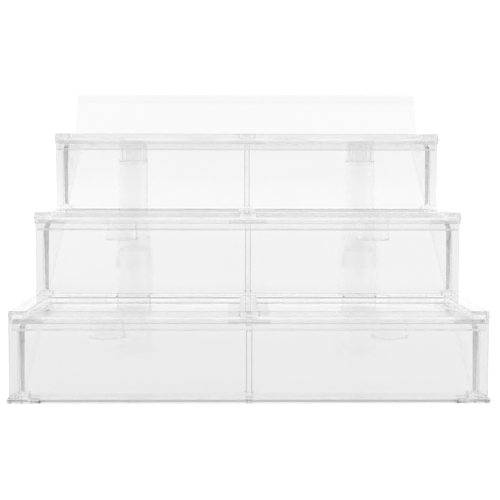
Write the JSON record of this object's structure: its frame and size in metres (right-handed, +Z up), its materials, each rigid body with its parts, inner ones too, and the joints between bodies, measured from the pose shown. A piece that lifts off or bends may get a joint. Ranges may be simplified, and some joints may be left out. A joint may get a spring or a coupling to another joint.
{
  "type": "tiered display stand",
  "caption": "Clear stair-shaped stand with shallow tray treads on tapered brackets, round back legs and a leaning backboard, for showing small goods in stepped rows.",
  "frame": {"origin": "on the floor, under the middle of the overall box", "axes": "+X to the right seen from the front, +Y from the front to the back, +Z up"},
  "size_m": [0.303, 0.2899, 0.2149],
  "materials": {
    "clear_plastic": "clear, polished",
    "clear_rubber": "clear, soft"
  },
  "bodies": {
    "stand": {"base_rail": "clear_plastic", "rail_bumpers": "clear_rubber", "bottom_deck": "clear_plastic", "bottom_panel": "clear_plastic", "bottom_left_bracket": "clear_plastic", "bottom_centre_bracket": "clear_plastic", "bottom_right_bracket": "clear_plastic", "middle_deck": "clear_plastic", "middle_panel": "clear_plastic", "middle_left_bracket": "clear_plastic", "middle_centre_bracket": "clear_plastic", "middle_right_bracket": "clear_plastic", "top_deck": "clear_plastic", "top_panel": "clear_plastic", "top_left_bracket": "clear_plastic", "top_centre_bracket": "clear_plastic", "top_right_bracket": "clear_plastic", "left_lower_leg": "clear_plastic", "left_upper_leg": "clear_plastic", "left_leg_plug": "clear_plastic", "right_lower_leg": "clear_plastic", "right_upper_leg": "clear_plastic", "right_leg_plug": "clear_plastic"},
    "backboard": {"backboard": "clear_plastic"}
  },
  "joints": [
    {"name": "backboard_lift", "type": "slide", "parent": "stand", "child": "backboard", "axis": [0, 0, 1], "range_m": [0, 0.03]}
  ]
}
